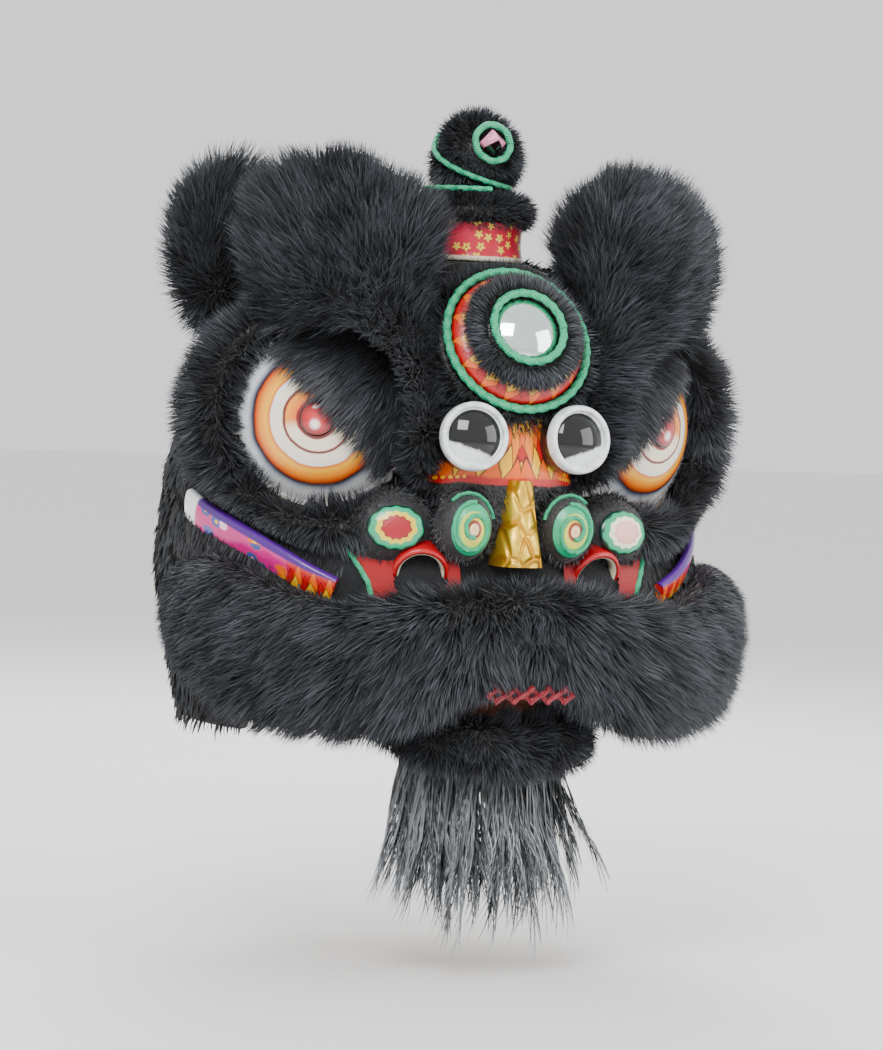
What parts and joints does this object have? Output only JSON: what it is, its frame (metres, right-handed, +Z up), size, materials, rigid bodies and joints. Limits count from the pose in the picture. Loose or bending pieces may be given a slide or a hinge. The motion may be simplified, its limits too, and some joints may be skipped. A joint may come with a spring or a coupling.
{
  "type": "lion dance head",
  "caption": "Southern lion dance head in black fur with a hollow shell held by a cross bar, drum eyes with hinged lids, hinged ears, a hinged jaw with a beard, mirrors and a horn.",
  "frame": {"origin": "middle of the cross bar inside the shell, which the dancer holds and the jaw turns on", "axes": "+Z up, the face looks along -Y, +X to the lion's own left"},
  "size_m": [0.7092, 0.614, 0.9252],
  "materials": {
    "plush": "short black plush over papier-mache",
    "cane": "smooth cane",
    "flame_paint": "painted flames under lacquer",
    "green_cord": "twisted cord",
    "black_fur": "deep faux fur",
    "mirror": "convex mirror",
    "gold_foil": "creased gold foil",
    "red_braid": "twisted braid",
    "white_rim": "white lacquer",
    "nose_black": "painted black with green spirals",
    "button_paint": "painted rings",
    "nostril_red": "red lacquer",
    "pink_band": "painted band",
    "eye_paint": "painted rings under lacquer",
    "pupil_red": "glossy red",
    "horn_pink": "brocade",
    "pink_gem": "faceted foil",
    "jaw_red": "red cloth over board",
    "beard_hair": "long grey-black hair"
  },
  "bodies": {
    "head": {"head_shell": "plush", "cross_bar": "cane", "forehead_boss": "flame_paint", "forehead_cord": "green_cord", "forehead_fur": "black_fur", "mirror_cord": "green_cord", "forehead_mirror": "mirror", "nose_bridge": "flame_paint", "nose_ridge": "gold_foil", "lip_fur": "black_fur", "mouth_braid": "red_braid", "mirror_cup_left": "white_rim", "mirror_cup_right": "white_rim", "nose_mirror_left": "mirror", "nose_mirror_right": "mirror", "nose_lobe_left": "nose_black", "nose_lobe_right": "nose_black", "nose_wing_left": "nose_black", "nose_wing_right": "nose_black", "nose_button_left": "button_paint", "nose_button_right": "button_paint", "nostril_left": "nostril_red", "nostril_right": "nostril_red", "cheek_band_left": "pink_band", "cheek_band_right": "pink_band", "eye_drum_left": "eye_paint", "eye_drum_right": "eye_paint", "pupil_left": "pupil_red", "pupil_right": "pupil_red", "eyelid_pin_left": "cane", "eyelid_pin_right": "cane", "brow_fur_left": "black_fur", "brow_fur_right": "black_fur", "cheek_fur_left": "black_fur", "cheek_fur_right": "black_fur", "ear_pin_left": "cane", "ear_pin_right": "cane", "horn_base": "horn_pink", "horn_brim": "black_fur", "horn_knob": "black_fur", "horn_cord_lower": "green_cord", "horn_cord_upper": "green_cord", "gem_cord": "green_cord", "horn_gem": "pink_gem"},
    "jaw": {"jaw_board": "jaw_red", "jaw_fur": "black_fur", "beard": "beard_hair"},
    "eyelid_left": {"eyelid_left": "black_fur"},
    "eyelid_right": {"eyelid_right": "black_fur"},
    "ear_left": {"ear_left": "black_fur"},
    "ear_right": {"ear_right": "black_fur"}
  },
  "joints": [
    {"name": "jaw_hinge", "type": "hinge", "parent": "head", "child": "jaw", "pos_m": [0, 0, 0], "axis": [1, 0, 0], "range_deg": [0, 30], "stiffness_Nm_per_rad": 1.5, "springref_deg": -34.38},
    {"name": "eyelid_left_hinge", "type": "hinge", "parent": "head", "child": "eyelid_left", "pos_m": [0.15713, -0.00551, 0.29], "axis": [0.6296, 0.2936, 0.7193], "range_deg": [0, 30], "stiffness_Nm_per_rad": 0.5, "springref_deg": -20.05},
    {"name": "eyelid_right_hinge", "type": "hinge", "parent": "head", "child": "eyelid_right", "pos_m": [-0.15713, -0.00551, 0.29], "axis": [0.6296, -0.2936, -0.7193], "range_deg": [0, 30], "stiffness_Nm_per_rad": 0.5, "springref_deg": -20.05},
    {"name": "ear_left_hinge", "type": "hinge", "parent": "head", "child": "ear_left", "pos_m": [0.268, 0.038, 0.402], "axis": [-0.9707, 0, 0.2402], "range_deg": [0, 30], "stiffness_Nm_per_rad": 0.3, "springref_deg": -14.32},
    {"name": "ear_right_hinge", "type": "hinge", "parent": "head", "child": "ear_right", "pos_m": [-0.268, 0.038, 0.402], "axis": [-0.9707, 0, -0.2402], "range_deg": [0, 30], "stiffness_Nm_per_rad": 0.3, "springref_deg": -14.32}
  ]
}
